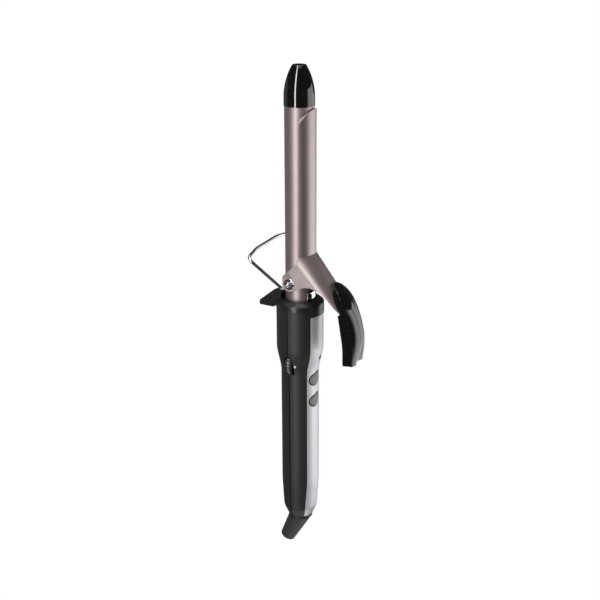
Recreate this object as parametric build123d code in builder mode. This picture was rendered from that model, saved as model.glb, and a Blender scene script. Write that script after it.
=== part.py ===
from build123d import *
import os
from math import asin, cos, radians, sin, sqrt

os.makedirs("parts", exist_ok=True)

# A dial-heat curling iron, upright, in millimetres. Z is the barrel's axis, with the tip up.
# The lever and the silver panel face +X, the lug faces -X, and the clip's pivot lies along Y.
# The origin is the middle of the grip. Heights below are taken from the collar's rim.

# Fits
seat = 0.05            # radial play of pieces that are fixed in one another
running = 0.05         # radial play of a pin in its bore
gap = 0.3              # between pieces that move past each other

# Barrel and cap
rim_z = 90.0           # collar rim above the middle of the grip
barrel_r = 9.5
barrel_wall = 1.0
barrel_reach = 128.3   # rim to the top of the bare barrel
barrel_socket = 20.0   # barrel held below the rim
cap_length = 25.0
cap_straight = 5.0
cap_overhang = 0.3     # skirt out from the barrel
cap_top_r = 4.3
cap_spigot = 7.0
recess_r = 3.3
recess_depth = 7.0
anchor_thick = 5.0

# Heater in the barrel
heater_length = 62.0
heater_width = 11.0
heater_thick = 2.2
electrode_thick = 0.3
spreader_length = 98.0
spreader_hollow = 2.2  # round channel down each spreader's back
lead_r = 0.6
lead_y = 4.6

# Clip, lever and pivot
sheet = 0.9
clip_gap = 0.35        # clip to barrel
clip_edge_x = 3.6
clip_short = 1.2       # barrel left bare above the clip
clip_tip_round = 11.0
crease_z = 33.6
lever_run = 42.0       # crease to the end of the lever's metal
lever_fall = 56.5      # degrees below the horizontal
lever_corner = 4.5     # at the lever's end; at the crease it is as round as the clip
crease_flat = 0.4      # half the flat on top of the lever at the crease
pivot_x = -2.8
pivot_z = 14.0
ear_reach = 5.0        # ear behind the pivot
eyelet_r = 2.2
eyelet_flange_r = 3.7
eyelet_flange_t = 0.6
eyelet_funnel = 0.9    # rolled mouth of the eyelet
wire_r = 1.0
tang_width = 11.0
tang_length = 9.0

lever_lip = 1.2        # side walls left at the lever's end
lever_arch = ((25.9, -7.3), (16.8, -1.5), (9.3, -1.6))  # lower edge, from the pivot
ear_rise = 10.4        # ear's top corner up to the clip's straight edge
ear_throat = 6.0

# Lever pad. Each section across the pad: its inner line and its edge, both along the lever and out from
# its face, then the crown of its back and its half width
pad_sections = (
    (21.5, -3.0, 22.5, 0.6, 1.2, 9.75),
    (30.0, -3.0, 30.5, 2.2, 3.0, 9.75),
    (40.0, -3.4, 41.0, 2.5, 3.3, 9.75),
    (47.3, -6.2, 50.5, -0.5, 4.5, 9.75),
    (55.7, -10.1, 60.5, -4.4, 4.4, 9.6),
    (66.1, -15.7, 70.3, -10.2, 3.4, 9.4),
    (72.7, -19.9, 76.0, -14.0, 2.4, 9.2),
)
pad_start = 22.5
pad_arch = 19.4
scoop_r = 10.0
scoop_start = (69.5, 6.3)
scoop_end = (82.2, -6.6)

# Leaf spring
spring_width = 7.0
spring_thick = 0.7
spring_height = 13.0
spring_touch = 14.0    # along the lever from the crease
saddle_top = 9.5
saddle_turn = 40.0     # degrees to each side of the front

# Wire stand
stand_stub = 9.5       # straight out of the eyelet
stand_leg = 28.7
stand_half_width = 31.0
stand_bow = 2.5
stand_rise = 47.5      # degrees above the horizontal
stub_bend = 2.6
corner_bend = 3.0

# Collar
collar_r = 15.65
collar_height = 3.3    # shells' top below the rim
collar_proud = 0.35    # collar out from the shells
crown_r = 12.6         # top of the rounded shoulder
crown_rise = 2.6
dish_rise = 1.6        # floor round the barrel, above the rim
dish_floor = 1.5
tongue_drop = 7.4
tongue_half_top = 13.2
lug_root = 10.6        # behind the axis
lug_rise = 6.0
lug_brow = (20.5, 3.6) # where the lug's top turns down, behind the axis and above the rim
lug_bend = 12.0
lug_reach = 28.2
lug_droop = 2.8
lug_thick = 2.2
lug_heel = 1.5
lug_half_width = 7.5
lug_tip_half = 5.0

# Handle
grip_r = 12.7
shoulder_top = 33.0    # below the rim
shoulder_foot = 47.0
handle_foot = 160.0
grip_taper = 28.0      # grip's end above the foot
waist_r = 11.6
foot_taper = 7.5       # waist above the foot
foot_r = 8.3
handle_bends = (25.0, 25.0, 150.0, 8.0)
handle_wall = 2.4
seam_x = -2.5
seam_groove_w = 0.5
seam_groove_d = 0.5
panel_thick = 1.2
panel_half_top = 9.95  # beside the upper body
panel_half_width = 8.9 # beside the grip
panel_half_foot = 6.3  # at the handle's foot
panel_foot = 1.0       # panel's end above the foot
panel_gap = 0.12
shelf_thick = 2.0

# Board and controls
board_x = 2.4
board_thick = 1.6
board_half_width = 7.6
board_top = 36.0
board_foot = 100.0
button_z = (52.4, 67.9)
button_y = -2.8
button_lean = 36.0     # degrees, point towards the panel's middle
button_length = 10.5
button_width = 7.6
button_point = 1.0
button_gap = 0.5
button_proud = 0.6
button_travel = 0.8
led_z = 38.5
led_r = 1.1
dial_z = 42.5
dial_r = 9.0
dial_width = 4.4
dial_proud = 0.9
dial_slot_length = 13.0
dial_slot_width = 5.4
dial_slot_flare = 1.2  # wider at its lower end, towards the front
spindle_r = 1.5
pot_width = 7.0
post_r = 3.0
screw_r = 1.2
screw_head_r = 2.4
screw_head_t = 1.8
screw_length = 9.0
screw_upper_z = 28.4
screw_middle_z = 112.0
screw_lower = 20.0     # last screw above the foot
board_screw_z = (44.5, 88.0)
board_screw_y = 3.2
board_screw_r = 0.9
board_screw_grip = 2.4
board_post_r = 1.9
button_flange = 0.8

# Cord swivel
swivel_hole_r = 5.0
swivel_flange_r = 6.6
swivel_flange_t = 1.6
swivel_disc = 1.2
neck_r = 3.0
ring_r = 4.2
ring_step_w = 0.5
ring_height = 2.0
ring_space = 1.6
brush_gap = 0.1
brush_thick = 1.2
relief_tilt = 27.0     # degrees from straight down, towards the back
relief_root_r = 8.1
relief_mouth_r = 5.3
relief_length = 22.0
cord_bore_r = 3.5
cord_bore_depth = 18.0

# Sizes that follow
bore_r = barrel_r - barrel_wall
cap_r = barrel_r + cap_overhang
clip_in_r = barrel_r + clip_gap
clip_out_r = clip_in_r + sheet
stack_half = heater_thick / 2 + electrode_thick
ear_z = pivot_z - ear_reach
clip_tip_z = barrel_reach - clip_short
channel_depth = 4 * clip_out_r
grip_foot = handle_foot - grip_taper
waist_z = handle_foot - foot_taper
screw_z = (screw_upper_z, screw_middle_z, handle_foot - screw_lower)

# Planes with their origin at the rim: from the side, from the front, and level
side = Plane(origin=(0, 0, rim_z), x_dir=(1, 0, 0), z_dir=(0, -1, 0))
front = Plane(origin=(0, 0, rim_z), x_dir=(0, 1, 0), z_dir=(1, 0, 0))


def level(z):
    """A level plane, z above the collar's rim."""
    return Plane.XY.offset(rim_z + z)


# The lever's outer face: a plane through the crease, x along the lever and y across it
lever_dir = Vector(cos(radians(lever_fall)), 0, -sin(radians(lever_fall)))
crease = (clip_out_r, 0, rim_z + crease_z)
lever_out = Vector(sin(radians(lever_fall)), 0, cos(radians(lever_fall)))
lever_face = Plane(origin=crease, x_dir=lever_dir, z_dir=lever_out)
lever_side = Plane(origin=crease, x_dir=lever_dir, z_dir=(0, -1, 0))
lever_end = Plane(origin=crease, x_dir=(0, 1, 0), z_dir=lever_dir)


def lever_point(along, out=0.0):
    """A point in the side plane: a distance along the lever from the crease, and out from its face."""
    c, s = cos(radians(lever_fall)), sin(radians(lever_fall))
    return (clip_out_r + along * c + out * s, crease_z - along * s + out * c)


def drop_outline(grow):
    """A drop with its point up, centred on its length, grown by a margin all round, then leant over."""
    radius = button_width / 2
    centre = radius - button_length / 2
    turn = asin(radius / (button_length - radius))
    with BuildSketch() as drop:
        with Locations((0, centre)):
            Circle(radius)
        with BuildLine():
            Polyline(
                (0, button_length / 2),
                (radius * cos(turn), centre + radius * sin(turn)),
                (-radius * cos(turn), centre + radius * sin(turn)),
                close=True,
            )
        make_face()
        fillet(drop.vertices().sort_by(Axis.Y)[-1], radius=button_point)
        if grow:
            offset(amount=grow)
    return drop.sketch.rotate(Axis.Z, -button_lean)


def tongue_outline(grow):
    """The collar's front tongue seen from the front: wide under the collar, narrow at its lower edge."""
    with BuildSketch() as outline:
        with BuildLine():
            Polyline(
                (-tongue_half_top - grow, -collar_height),
                (tongue_half_top + grow, -collar_height),
                (panel_half_top + grow, -tongue_drop),
                (-panel_half_top - grow, -tongue_drop),
                close=True,
            )
        make_face()
    return outline.sketch


def panel_outline(grow):
    """The silver panel seen from the front: it narrows with the handle's shoulder and again at its foot."""
    top, grip, foot = panel_half_top + grow, panel_half_width + grow, panel_half_foot + grow
    with BuildSketch() as outline:
        with BuildLine():
            Polyline(
                (-foot, -handle_foot),
                (-grip, -waist_z),
                (-grip, -shoulder_foot),
                (-top, -shoulder_top),
                (-top, 0),
                (top, 0),
                (top, -shoulder_top),
                (grip, -shoulder_foot),
                (grip, -waist_z),
                (foot, -handle_foot),
                close=True,
            )
        make_face()
    return outline.sketch


# Barrel: a plain tube, drilled on both sides for the pivot eyelets
with BuildPart() as barrel_tube:
    with BuildSketch(level(-barrel_socket)):
        Circle(barrel_r)
        Circle(bore_r, mode=Mode.SUBTRACT)
    extrude(amount=barrel_socket + barrel_reach)
    with BuildSketch(side):
        with Locations((pivot_x, pivot_z)):
            Circle(eyelet_r + seat)
    extrude(amount=barrel_r, both=True, mode=Mode.SUBTRACT)
barrel_tube.part.label = "barrel_tube"
export_step(barrel_tube.part, "parts/barrel_tube.step")

# Tip cap: a bullet with a straight skirt, a spigot that enters the barrel and a stepped hole for its screw
with BuildPart() as tip_cap:
    with BuildSketch(side):
        with BuildLine():
            skirt = Line((cap_r, barrel_reach), (cap_r, barrel_reach + cap_straight))
            TangentArc(skirt @ 1, (cap_top_r, barrel_reach + cap_length), tangent=skirt % 1)
            Polyline(
                (cap_top_r, barrel_reach + cap_length),
                (recess_r, barrel_reach + cap_length),
                (recess_r, barrel_reach + cap_length - recess_depth),
                (screw_r + seat, barrel_reach + cap_length - recess_depth),
                (screw_r + seat, barrel_reach - cap_spigot),
                (bore_r - seat, barrel_reach - cap_spigot),
                (bore_r - seat, barrel_reach),
                (cap_r, barrel_reach),
            )
        make_face()
    revolve(axis=Axis.Z)
    cap_rim = tip_cap.edges().filter_by(GeomType.CIRCLE).group_by(Axis.Z)[-1]
    fillet(cap_rim.sort_by(SortBy.RADIUS)[-1], radius=0.6)
tip_cap.part.label = "tip_cap"
export_step(tip_cap.part, "parts/tip_cap.step")

# Anchor disc under the cap, and the screw that draws the cap down on it
anchor_top = barrel_reach - cap_spigot
with BuildPart() as tip_anchor:
    with BuildSketch(level(anchor_top - anchor_thick)):
        Circle(bore_r - seat)
        Circle(screw_r + seat, mode=Mode.SUBTRACT)
    extrude(amount=anchor_thick)
tip_anchor.part.label = "tip_anchor"
export_step(tip_anchor.part, "parts/tip_anchor.step")

screw_seat = barrel_reach + cap_length - recess_depth
with BuildPart() as tip_screw:
    with BuildSketch(level(screw_seat)):
        Circle(screw_head_r)
    extrude(amount=1.8)
    fillet(tip_screw.edges().group_by(Axis.Z)[-1], radius=0.5)
    with BuildSketch(level(screw_seat + 1.8)):
        Rectangle(screw_head_r * 1.3, 0.6)
        Rectangle(0.6, screw_head_r * 1.3)
    extrude(amount=-0.9, mode=Mode.SUBTRACT)
    with BuildSketch(level(screw_seat)):
        Circle(screw_r)
    extrude(amount=-(screw_seat - anchor_top + anchor_thick))
tip_screw.part.label = "tip_screw"
export_step(tip_screw.part, "parts/tip_screw.step")

# Heat spreaders: two half-round bars that stand on the bush's floor, with the heater between them
spreader_foot = -barrel_socket
heater_foot = spreader_foot + spreader_length - heater_length
for name, facing in (("front", 1), ("rear", -1)):
    with BuildPart() as spreader:
        with BuildSketch(level(spreader_foot)):
            Circle(bore_r - seat)
            with Locations((-facing * bore_r + facing * stack_half, 0)):
                Rectangle(2 * bore_r, 2 * bore_r, mode=Mode.SUBTRACT)
        extrude(amount=spreader_length)
        with BuildSketch(level(spreader_foot)):
            with Locations((facing * (bore_r - spreader_hollow), 0)):
                Circle(spreader_hollow)
        extrude(amount=spreader_length, mode=Mode.SUBTRACT)
    spreader.part.label = "heat_spreader_" + name
    export_step(spreader.part, "parts/heat_spreader_" + name + ".step")

# Heater tablets, the electrode plates on both faces, and the sensor under them
with BuildPart() as ptc_heater:
    with BuildSketch(level(heater_foot)):
        Rectangle(heater_thick, heater_width)
    extrude(amount=heater_length)
ptc_heater.part.label = "ptc_heater"
export_step(ptc_heater.part, "parts/ptc_heater.step")

electrode_x = stack_half - electrode_thick / 2
with BuildPart() as electrode_plates:
    with BuildSketch(level(heater_foot)):
        with Locations((electrode_x, 0), (-electrode_x, 0)):
            Rectangle(electrode_thick, heater_width)
    extrude(amount=heater_length)
electrode_plates.part.label = "electrode_plates"
export_step(electrode_plates.part, "parts/electrode_plates.step")

sensor_length = 6.0
with BuildPart() as thermistor:
    with BuildSketch(level(heater_foot - sensor_length)):
        Circle(heater_thick / 2)
    extrude(amount=sensor_length)
thermistor.part.label = "thermistor"
export_step(thermistor.part, "parts/thermistor.step")

# Insulating bush: stands on the shells' shelf, holds the barrel and ends under the collar
bush_floor = 2.0
bush_foot = -barrel_socket - bush_floor
bush_r = collar_r - handle_wall - seat
bush_hole_r = 7.4
with BuildPart() as barrel_bushing:
    with BuildSketch(level(bush_foot)):
        Circle(bush_r)
        Circle(bush_hole_r, mode=Mode.SUBTRACT)
    extrude(amount=-collar_height - bush_foot)
    with BuildSketch(level(-barrel_socket)):
        Circle(barrel_r + seat)
    extrude(amount=barrel_socket, mode=Mode.SUBTRACT)
barrel_bushing.part.label = "barrel_bushing"
export_step(barrel_bushing.part, "parts/barrel_bushing.step")

# Leads from the electrodes down to the board's top edge
with BuildPart() as heater_leads:
    for y in (lead_y, -lead_y):
        with BuildLine() as lead_path:
            FilletPolyline(
                (0, y, rim_z + heater_foot),
                (0, y, rim_z + bush_foot - lead_r),
                (board_x, y, rim_z - board_top + 4 * lead_r),
                (board_x, y, rim_z - board_top),
                radius=2 * lead_r,
            )
        with BuildSketch(Plane(origin=lead_path.line @ 0, z_dir=lead_path.line % 0)):
            Circle(lead_r)
        sweep(path=lead_path.line)
heater_leads.part.label = "heater_leads"
export_step(heater_leads.part, "parts/heater_leads.step")

# Pivot eyelets: hollow rivets set in the barrel's wall, flanged outside the clip's ears
eyelet_seat_y = sqrt(bore_r**2 - (abs(pivot_x) + eyelet_r) ** 2) + seat
flange_y = clip_out_r + 2 * seat
with BuildPart() as pivot_eyelets:
    with BuildSketch(side.offset(eyelet_seat_y)):
        with Locations((pivot_x, pivot_z)):
            Circle(eyelet_r)
    extrude(amount=flange_y - eyelet_seat_y)
    with BuildSketch(side.offset(flange_y)):
        with Locations((pivot_x, pivot_z)):
            Circle(eyelet_flange_r)
    extrude(amount=eyelet_flange_t)
    flange_rims = pivot_eyelets.edges().filter_by(GeomType.CIRCLE).sort_by(SortBy.RADIUS)[-2:]
    fillet(flange_rims, radius=eyelet_flange_t * 0.45)
    with BuildSketch(side.offset(eyelet_seat_y)):
        with Locations((pivot_x, pivot_z)):
            Circle(wire_r + running)
    extrude(amount=barrel_r, mode=Mode.SUBTRACT)
    with BuildSketch(side.offset(flange_y + eyelet_flange_t)):
        with Locations((pivot_x, pivot_z)):
            Circle(wire_r + running + eyelet_funnel)
    extrude(amount=-eyelet_funnel, taper=45, mode=Mode.SUBTRACT)
    with BuildSketch(level(pivot_z - eyelet_flange_r)):
        Circle(bore_r)
    extrude(amount=2 * eyelet_flange_r, mode=Mode.SUBTRACT)
    mirror(about=Plane.XZ)
pivot_eyelets.part.label = "pivot_eyelets"
export_step(pivot_eyelets.part, "parts/pivot_eyelets.step")

# Clip: one pressing. A half tube along the barrel meets a sloping channel at the crease. Both are
# hollowed by the same sheet thickness, then the ears and the rounded end are trimmed from them.
def half_tube(radius):
    """A U-shaped section across the barrel, round towards the front and open-ended towards the back."""
    with BuildSketch(level(-lever_run)) as section:
        Circle(radius)
        with Locations((-clip_out_r, 0)):
            Rectangle(2 * clip_out_r, 2 * radius)
    return section.sketch


def lever_bar(inset, along, corner):
    """The section of the sloping bar under the lever's face, inset by a thickness, at a distance along it."""
    across = clip_out_r - inset
    with BuildSketch(lever_end.offset(along)) as section:
        with BuildLine():
            FilletPolyline(
                (-across, -channel_depth),
                (-across, -inset),
                (across, -inset),
                (across, -channel_depth),
                radius=corner - inset,
            )
            Line((across, -channel_depth), (-across, -channel_depth))
        make_face()
    return section.sketch


def lever_block(inset, end):
    """The sloping bar: as round as the clip up to the crease, then flatter and squarer to its end."""
    round_corner = clip_out_r - crease_flat
    with BuildPart() as block:
        extrude(lever_bar(inset, -2 * clip_out_r, round_corner), amount=2 * clip_out_r)
        loft([lever_bar(inset, 0, round_corner), lever_bar(inset, end, lever_corner)], ruled=True)
    return block.part


def ear_point(dx, dz):
    """A point in the side plane, from the pivot."""
    return (pivot_x + dx, pivot_z + dz)


lever_outside = lever_block(0, lever_run)
lever_inside = lever_block(sheet, lever_run)
pad_bed = lever_block(-seat, lever_run + seat)
clip_end_half = sqrt(clip_out_r**2 - clip_edge_x**2)
with BuildPart() as clip:
    extrude(half_tube(clip_out_r), amount=lever_run + clip_tip_z)
    add(lever_outside)
    extrude(half_tube(clip_in_r), amount=lever_run + clip_tip_z, mode=Mode.SUBTRACT)
    add(lever_inside, mode=Mode.SUBTRACT)
    with BuildSketch(side) as clip_outline:
        with BuildLine():
            top = Polyline(
                ear_point(0, -ear_reach),
                ear_point(-ear_reach, -ear_reach),
                ear_point(-ear_reach, ear_reach),
                (clip_edge_x, pivot_z + ear_reach + ear_rise),
                (clip_edge_x, clip_tip_z),
                (2 * lever_run, clip_tip_z),
                (2 * lever_run, lever_point(lever_run)[1]),
                lever_point(lever_run + lever_lip, -lever_lip),
            )
            Spline(
                lever_point(lever_run + lever_lip, -lever_lip),
                *[ear_point(*p) for p in lever_arch],
                ear_point(0, -ear_reach),
                tangents=[(-lever_out.X, lever_out.Z), (-1, 0)],
            )
        make_face()
        corners = clip_outline.vertices()
        fillet(corners.sort_by_distance((pivot_x - ear_reach, pivot_z - ear_reach))[0], radius=ear_reach * 0.9)
        corners = clip_outline.vertices()
        fillet(corners.sort_by_distance((pivot_x - ear_reach, pivot_z + ear_reach))[0], radius=ear_reach * 0.8)
        corners = clip_outline.vertices()
        fillet(corners.sort_by_distance((clip_edge_x, pivot_z + ear_reach + ear_rise))[0], radius=ear_throat)
    extrude(amount=2 * clip_out_r, both=True, mode=Mode.INTERSECT)
    with BuildSketch(front):
        with Locations((0, clip_tip_z - clip_tip_round)):
            Ellipse(clip_end_half, clip_tip_round)
        with Locations((0, (clip_tip_z - clip_tip_round - lever_run) / 2)):
            Rectangle(4 * clip_out_r, clip_tip_z - clip_tip_round + lever_run)
    extrude(amount=2 * lever_run, both=True, mode=Mode.INTERSECT)
    with BuildSketch(side):
        with Locations((pivot_x, pivot_z)):
            Circle(eyelet_r + running)
    extrude(amount=2 * clip_out_r, both=True, mode=Mode.SUBTRACT)
    with BuildSketch(lever_face):
        with Locations((lever_run, 0)):
            Rectangle(2 * tang_length, tang_width)
    extrude(amount=-sheet)
clip.part.label = "clip"
export_step(clip.part, "parts/clip.step")

# Lever pad: a curved grip moulded over the lever's end, arched where it starts on the metal face. It is
# lofted through crowned sections, fitted over the metal and then scooped for the thumb.
def pad_section(along_in, out_in, along_edge, out_edge, crown, half):
    """A section across the pad: a flat base, two sides and a crowned back, in the plane of its two lines."""
    inner = lever_side.from_local_coords(Vector(along_in, out_in, 0))
    rise = lever_side.from_local_coords(Vector(along_edge, out_edge, 0)) - inner
    with BuildSketch(Plane(origin=inner, x_dir=(0, 1, 0), z_dir=Vector(0, 1, 0).cross(rise))) as section:
        with BuildLine():
            Polyline((half, rise.length), (half, 0), (-half, 0), (-half, rise.length))
            ThreePointArc((-half, rise.length), (0, rise.length + crown), (half, rise.length))
        make_face()
    return section.sketch


pad_half = max(row[-1] for row in pad_sections)
with BuildPart() as lever_pad:
    loft([pad_section(*row) for row in pad_sections])
    add(pad_bed, mode=Mode.SUBTRACT)
    with BuildSketch(lever_face):
        with Locations((pad_start + pad_arch, 0)):
            Ellipse(pad_arch, pad_half)
        with Locations((pad_start + pad_arch + lever_run / 2, 0)):
            Rectangle(lever_run, 2 * pad_half)
    extrude(amount=lever_run, both=True, mode=Mode.INTERSECT)
    with BuildSketch(lever_face.offset(seat)):
        with Locations((lever_run, 0)):
            Rectangle(2 * (tang_length + seat), tang_width + 2 * seat)
    extrude(amount=-sheet - 2 * seat, mode=Mode.SUBTRACT)
    scoop_from = lever_side.from_local_coords(Vector(scoop_start[0], scoop_start[1], 0))
    scoop_to = lever_side.from_local_coords(Vector(scoop_end[0], scoop_end[1], 0))
    with BuildSketch(Plane(origin=scoop_from, z_dir=scoop_to - scoop_from)):
        Circle(scoop_r)
    extrude(amount=2 * lever_run, mode=Mode.SUBTRACT)
lever_pad.part.label = "lever_pad"
export_step(lever_pad.part, "parts/lever_pad.step")

# Leaf spring: a saddle round the barrel's front stands in the collar's dish, and a leaf rises from it to
# lean on the inside of the lever
saddle_r = clip_in_r + seat
spring_x = saddle_r + spring_thick / 2
with BuildPart() as leaf_spring:
    with BuildSketch(side):
        with BuildLine() as leaf:
            FilletPolyline(
                (spring_x, dish_rise),
                (spring_x, spring_height - ear_reach),
                lever_point(spring_touch, -sheet - spring_thick),
                lever_point(spring_touch + ear_reach, -sheet - 3 * spring_thick),
                radius=3 * spring_thick,
            )
        trace(line_width=spring_thick)
    extrude(amount=spring_width / 2, both=True)
    with BuildSketch(level(dish_rise)):
        with BuildLine():
            CenterArc((0, 0), saddle_r + spring_thick, -saddle_turn, 2 * saddle_turn)
            CenterArc((0, 0), saddle_r, -saddle_turn, 2 * saddle_turn)
            for turn in (-saddle_turn, saddle_turn):
                PolarLine((saddle_r * cos(radians(turn)), saddle_r * sin(radians(turn))), spring_thick, turn)
        make_face()
    extrude(amount=saddle_top - dish_rise)
leaf_spring.part.label = "leaf_spring"
export_step(leaf_spring.part, "parts/leaf_spring.step")

# Wire stand: one bent wire whose ends turn in the eyelets
stub_in = clip_in_r + gap
stub_out = flange_y + eyelet_flange_t + stand_stub
stand_plane = Plane(
    origin=(pivot_x, 0, rim_z + pivot_z),
    x_dir=(0, 1, 0),
    z_dir=(sin(radians(stand_rise)), 0, cos(radians(stand_rise))),
)
with BuildPart() as stand_wire:
    with BuildLine(stand_plane) as bail:
        FilletPolyline(
            (-stub_in, 0),
            (-stub_out, 0),
            (-stand_half_width, stand_leg),
            (-stand_half_width / 2, stand_leg + stand_bow),
            (stand_half_width / 2, stand_leg + stand_bow),
            (stand_half_width, stand_leg),
            (stub_out, 0),
            (stub_in, 0),
            radius=[stub_bend, corner_bend, stand_half_width, stand_half_width, corner_bend, stub_bend],
        )
    with BuildSketch(Plane(origin=bail.line @ 0, z_dir=bail.line % 0)):
        Circle(wire_r)
    sweep(path=bail.line)
stand_wire.part.label = "stand_wire"
export_step(stand_wire.part, "parts/stand_wire.step")

# The handle's half outline, from the collar down to the foot, inset from its surface
def handle_face(inset, top, foot):
    """The half section of the handle inside its surface, between two heights below the rim."""
    with BuildSketch(side) as section:
        with BuildLine():
            skin = FilletPolyline(
                (collar_r - inset, -collar_height),
                (collar_r - inset, -shoulder_top),
                (grip_r - inset, -shoulder_foot),
                (grip_r - inset, -grip_foot),
                (waist_r - inset, -waist_z),
                (foot_r - inset, -handle_foot),
                radius=handle_bends,
            )
            Polyline(skin @ 1, (0, -handle_foot), (0, -collar_height), skin @ 0)
        make_face()
        with Locations((collar_r / 2, -(top + foot) / 2)):
            Rectangle(2 * collar_r, foot - top, mode=Mode.INTERSECT)
    return section.sketch


def handle_r(z):
    """The handle's outer radius at a height below the rim."""
    share = min(max((z - shoulder_top) / (shoulder_foot - shoulder_top), 0), 1)
    return collar_r + (grip_r - collar_r) * share


# Silver panel: a strip of the handle's own skin, below the collar's tongue
with BuildPart() as front_panel:
    revolve(handle_face(0, tongue_drop + panel_gap, handle_foot - panel_foot), axis=Axis.Z)
    revolve(handle_face(panel_thick, tongue_drop, handle_foot), axis=Axis.Z, mode=Mode.SUBTRACT)
    with BuildSketch(front):
        add(panel_outline(0))
    extrude(amount=2 * collar_r, mode=Mode.INTERSECT)
    with BuildSketch(front):
        with Locations(*[(button_y, -z) for z in button_z]):
            add(drop_outline(button_gap))
        with Locations((0, -led_z)):
            Circle(led_r + seat)
    extrude(amount=2 * collar_r, mode=Mode.SUBTRACT)
front_panel.part.label = "front_panel"
export_step(front_panel.part, "parts/front_panel.step")

# What is let into the handle's skin at the front: the panel's strip and the collar's tongue
with BuildPart() as panel_bed:
    revolve(handle_face(0, collar_height, handle_foot - panel_foot + panel_gap), axis=Axis.Z)
    revolve(handle_face(panel_thick, collar_height, handle_foot), axis=Axis.Z, mode=Mode.SUBTRACT)
    with BuildSketch(front):
        add(panel_outline(panel_gap))
        add(tongue_outline(panel_gap))
    extrude(amount=2 * collar_r, mode=Mode.INTERSECT)

# The groove round the handle where its two halves meet
with BuildPart() as seam_groove:
    revolve(handle_face(0, collar_height, handle_foot), axis=Axis.Z)
    revolve(handle_face(seam_groove_d, collar_height, handle_foot), axis=Axis.Z, mode=Mode.SUBTRACT)
    with BuildSketch(front.offset(seam_x - seam_groove_w / 2)):
        with Locations((0, -handle_foot / 2)):
            Rectangle(3 * collar_r, 2 * handle_foot)
    extrude(amount=seam_groove_w, mode=Mode.INTERSECT)

# Collar: a dished ring, the tongue in the panel's bed and the lug at the back
with BuildPart() as tongue:
    revolve(handle_face(-collar_proud, collar_height, tongue_drop), axis=Axis.Z)
    revolve(handle_face(panel_thick, collar_height, handle_foot), axis=Axis.Z, mode=Mode.SUBTRACT)
    with BuildSketch(front):
        add(tongue_outline(0))
    extrude(amount=2 * collar_r, mode=Mode.INTERSECT)

with BuildPart() as lug:
    with BuildSketch(side):
        with BuildLine():
            FilletPolyline(
                (-lug_root, -collar_height),
                (-lug_root, lug_rise),
                (-lug_brow[0], lug_brow[1]),
                (-lug_reach, -lug_droop),
                (-lug_reach, -lug_droop - lug_thick),
                (-collar_r - seat, -collar_height - lug_heel),
                (-collar_r - seat, -collar_height),
                radius=[0.8, lug_bend, lug_thick * 0.45, lug_thick * 0.45, 0.6],
            )
            Line((-collar_r - seat, -collar_height), (-lug_root, -collar_height))
        make_face()
    extrude(amount=lug_half_width, both=True)
    with BuildSketch(Plane.XY) as lug_plan:
        with BuildLine():
            Polyline(
                (0, -lug_half_width),
                (-lug_root, -lug_half_width),
                (-lug_reach, -lug_tip_half),
                (-lug_reach, lug_tip_half),
                (-lug_root, lug_half_width),
                (0, lug_half_width),
                close=True,
            )
        make_face()
        fillet(lug_plan.vertices().group_by(Axis.X)[0], radius=lug_tip_half * 0.6)
    extrude(amount=2 * rim_z, mode=Mode.INTERSECT)

with BuildPart() as collar:
    with BuildSketch(side):
        with BuildLine():
            FilletPolyline(
                (collar_r + collar_proud, -collar_height),
                (collar_r + collar_proud, 0),
                (crown_r, crown_rise),
                (barrel_r + clip_gap + dish_floor, dish_rise),
                (barrel_r + clip_gap, dish_rise),
                (barrel_r + clip_gap, -collar_height),
                radius=[1.6, 1.0, 0.6, 0.1],
            )
            Line((barrel_r + clip_gap, -collar_height), (collar_r + collar_proud, -collar_height))
        make_face()
    revolve(axis=Axis.Z)
    add(tongue.part)
    add(lug.part)
collar.part.label = "collar"
export_step(collar.part, "parts/collar.step")

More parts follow.
